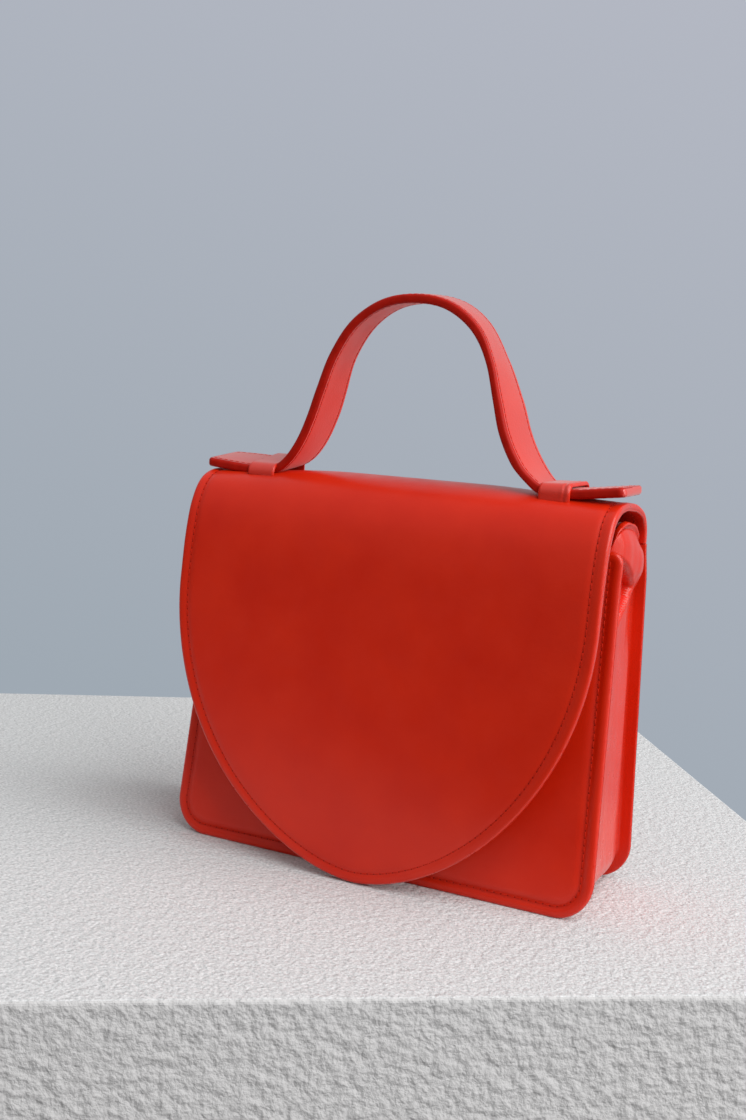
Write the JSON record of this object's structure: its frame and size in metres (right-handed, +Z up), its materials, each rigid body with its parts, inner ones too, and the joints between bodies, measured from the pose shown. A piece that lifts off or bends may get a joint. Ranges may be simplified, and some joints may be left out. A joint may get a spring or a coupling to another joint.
{
  "type": "mini briefcase bag",
  "caption": "Small structured top-handle bag with a long rounded flap over the front, a pleated gusset, strap keepers and a magnetic snap under the flap.",
  "frame": {"origin": "on the floor, under the centre of the whole bag's bounding box", "axes": "+Z is up, +X is the bag's right side as seen from the front, and the flap hangs on the -Y side"},
  "size_m": [0.199, 0.0766, 0.2474],
  "materials": {
    "red_leather": "smooth leather with a semi-gloss coat, vermilion red",
    "flap_lining": "thin smooth lining leather, matte, dark red",
    "lining": "fine woven lining, matte, dark red",
    "board": "stiff pressed bag board, raw grey brown",
    "snap_metal": "nickel plated steel",
    "magnet": "dark sintered magnet"
  },
  "bodies": {
    "body": {"back_panel": "red_leather", "back_board": "board", "back_lining": "lining", "slip_pocket": "lining", "gusset": "red_leather", "gusset_lining": "lining", "base_board": "board"},
    "front_wall": {"front_panel": "red_leather", "front_board": "board", "front_lining": "lining", "snap_socket": "snap_metal", "snap_magnet": "magnet", "snap_socket_washer": "snap_metal"},
    "flap_body": {"flap": "red_leather", "flap_core": "board", "flap_lining": "flap_lining", "snap_stud": "snap_metal", "snap_stud_washer": "snap_metal", "left_keeper": "red_leather", "right_keeper": "red_leather"},
    "handle": {"handle_top_layer": "red_leather", "handle_core": "board", "handle_under_layer": "red_leather"}
  },
  "joints": [
    {"name": "flap_hinge", "type": "hinge", "parent": "body", "child": "flap_body", "pos_m": [0, 0.03857, 0.14785], "axis": [-1, 0, 0], "range_deg": [0, 180]},
    {"name": "mouth_opening", "type": "hinge", "parent": "body", "child": "front_wall", "pos_m": [0, -0.02473, 0], "axis": [1, 0, 0], "range_deg": [0, 6]},
    {"name": "handle_shift", "type": "slide", "parent": "flap_body", "child": "handle", "axis": [1, 0, 0], "range_m": [-0.002, 0.002]}
  ]
}
